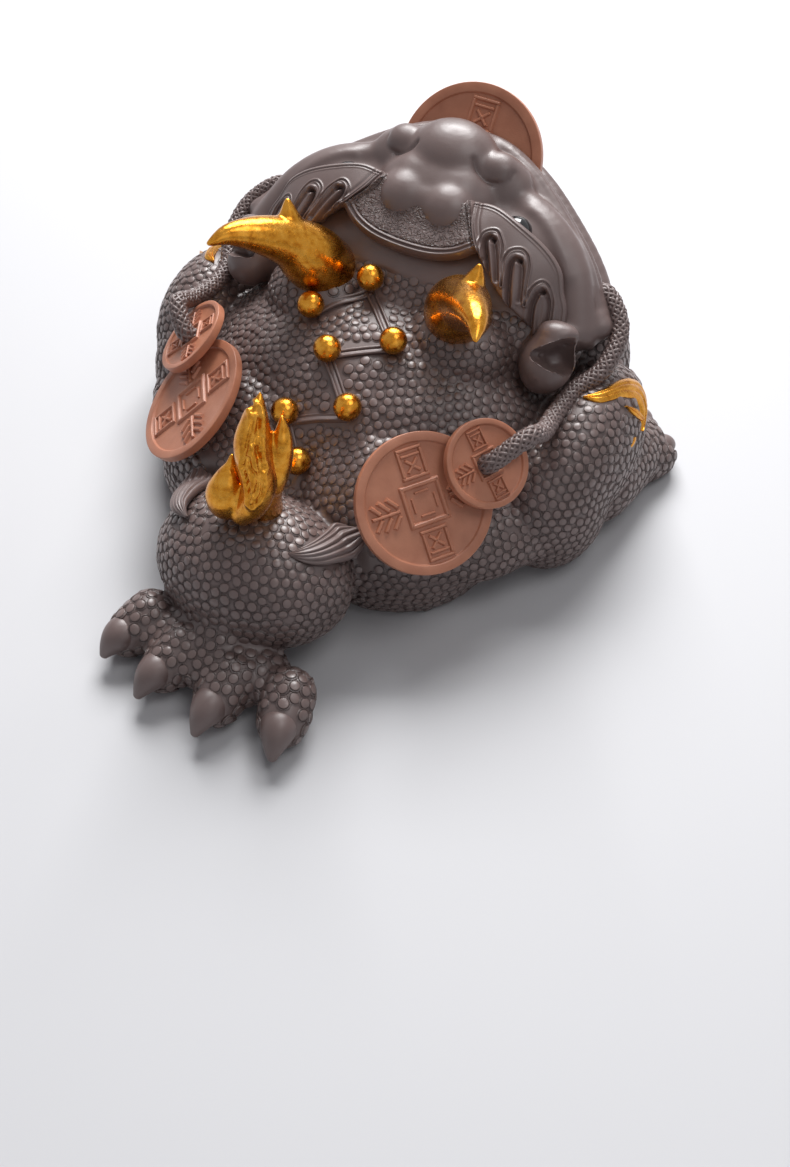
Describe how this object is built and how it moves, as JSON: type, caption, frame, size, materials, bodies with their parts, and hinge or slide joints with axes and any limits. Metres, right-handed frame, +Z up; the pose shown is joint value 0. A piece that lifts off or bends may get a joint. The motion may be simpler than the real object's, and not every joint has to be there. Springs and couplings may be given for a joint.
{
  "type": "three-legged toad tea pet figurine",
  "caption": "Purple clay three-legged toad tea pet with pebbled skin, raised head, coin in its mouth, gilt horns, star beads and tail flame, and coins on its back.",
  "frame": {"origin": "on the underside where the toad rests, below the middle of its back", "axes": "+Z up, -Y towards the head, +X towards the toad's left side"},
  "size_m": [0.1498, 0.1662, 0.0829],
  "materials": {
    "purple_clay": "unglazed purple stoneware clay, burnished to a satin and stamped with pebbles",
    "gilding": "flaky gold over fired clay, glossy",
    "red_clay": "unglazed brick red clay, satin",
    "black_glaze": "glossy black glaze"
  },
  "bodies": {
    "root": {"toad_body": "purple_clay", "star_bead_1": "gilding", "star_bead_2": "gilding", "star_bead_3": "gilding", "star_bead_4": "gilding", "star_bead_5": "gilding", "star_bead_6": "gilding", "star_bead_7": "gilding", "tail_flame": "gilding", "left_horn": "gilding", "right_horn": "gilding", "left_eye": "black_glaze", "right_eye": "black_glaze", "left_large_coin": "red_clay", "left_small_coin": "red_clay", "right_large_coin": "red_clay", "right_small_coin": "red_clay", "mouth_coin": "red_clay", "left_rope": "purple_clay", "right_rope": "purple_clay"}
  },
  "joints": []
}
